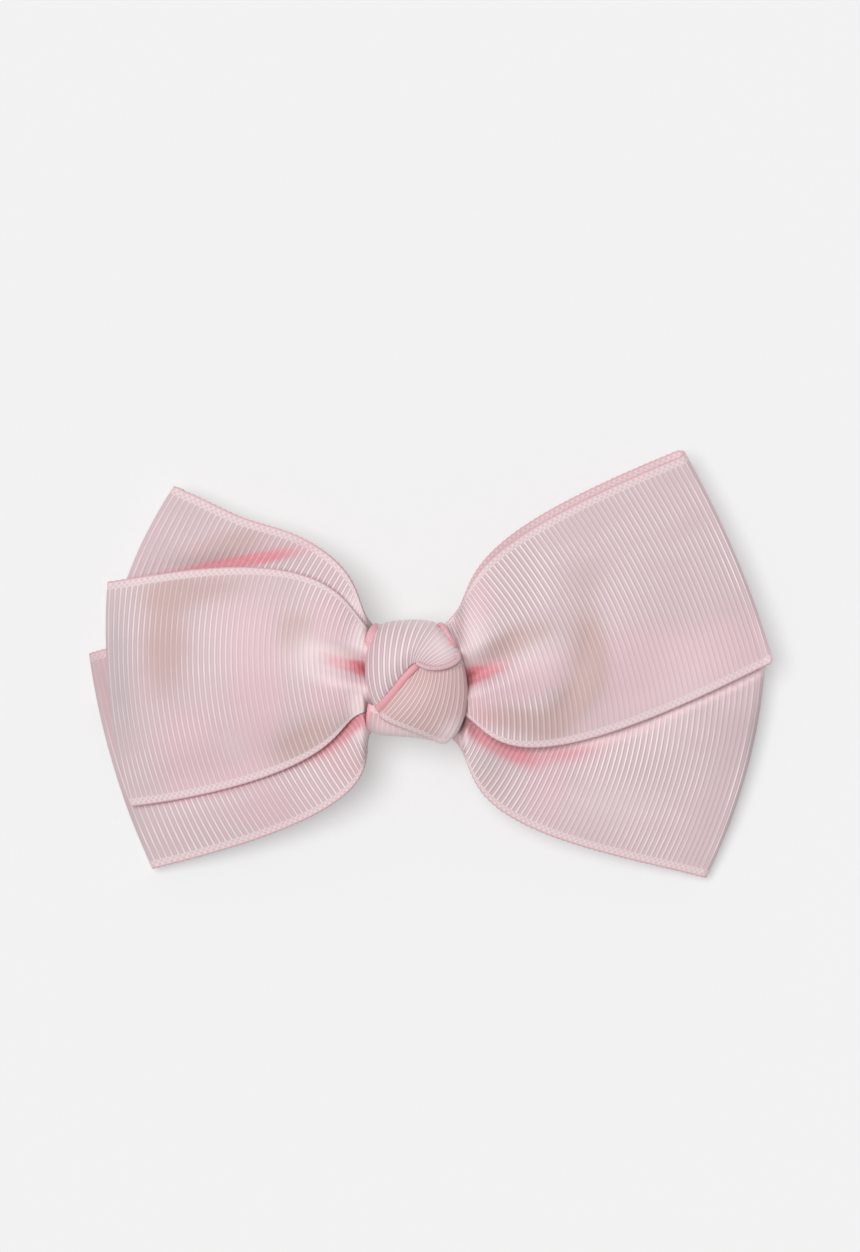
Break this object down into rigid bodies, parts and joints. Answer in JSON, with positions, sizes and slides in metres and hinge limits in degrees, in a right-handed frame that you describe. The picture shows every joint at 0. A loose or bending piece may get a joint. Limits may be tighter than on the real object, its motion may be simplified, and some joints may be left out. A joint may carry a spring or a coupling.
{
  "type": "hair bow clip",
  "caption": "Gathered ribbon hair bow with folded loops, a cut front tail and a tied centre knot, fixed to a sprung flat alligator clip whose lower arm opens to grip the hair.",
  "frame": {"origin": "on the flat back of the clip's lower arm, under the middle of the knot", "axes": "+X along the bow, to the side of the clip's finger levers; +Y across the bow, to the side of the loop that stands highest; +Z from the clip to the knot, out of the bow's face"},
  "size_m": [0.1161, 0.0719, 0.022],
  "materials": {
    "bow_ribbon": "ribbed grosgrain, soft sheen",
    "knot_ribbon": "ribbed grosgrain, soft sheen",
    "lining_ribbon": "ribbed grosgrain, soft sheen",
    "thread": "matt",
    "glue": "satin",
    "clip_steel": "nickel plated",
    "spring_steel": "drawn wire"
  },
  "bodies": {
    "bow": {"front_left_tail": "bow_ribbon", "upper_right_loop": "bow_ribbon", "lower_left_loop": "bow_ribbon", "lower_right_loop": "bow_ribbon", "upper_left_loop": "bow_ribbon", "center_knot": "knot_ribbon", "knot_band": "knot_ribbon", "gathering_thread": "thread", "glue_pad": "glue", "clip_lining": "lining_ribbon", "clip_upper_arm": "clip_steel", "clip_spring": "spring_steel", "clip_pin": "clip_steel"},
    "lower_arm": {"clip_lower_arm": "clip_steel"}
  },
  "joints": [
    {"name": "clip_open", "type": "hinge", "parent": "bow", "child": "lower_arm", "pos_m": [0.011, 0, 0.00255], "axis": [0, -1, 0], "range_deg": [0, 22], "stiffness_Nm_per_rad": 0.05, "springref_deg": -45.84, "deforming": ["clip_spring"]}
  ]
}
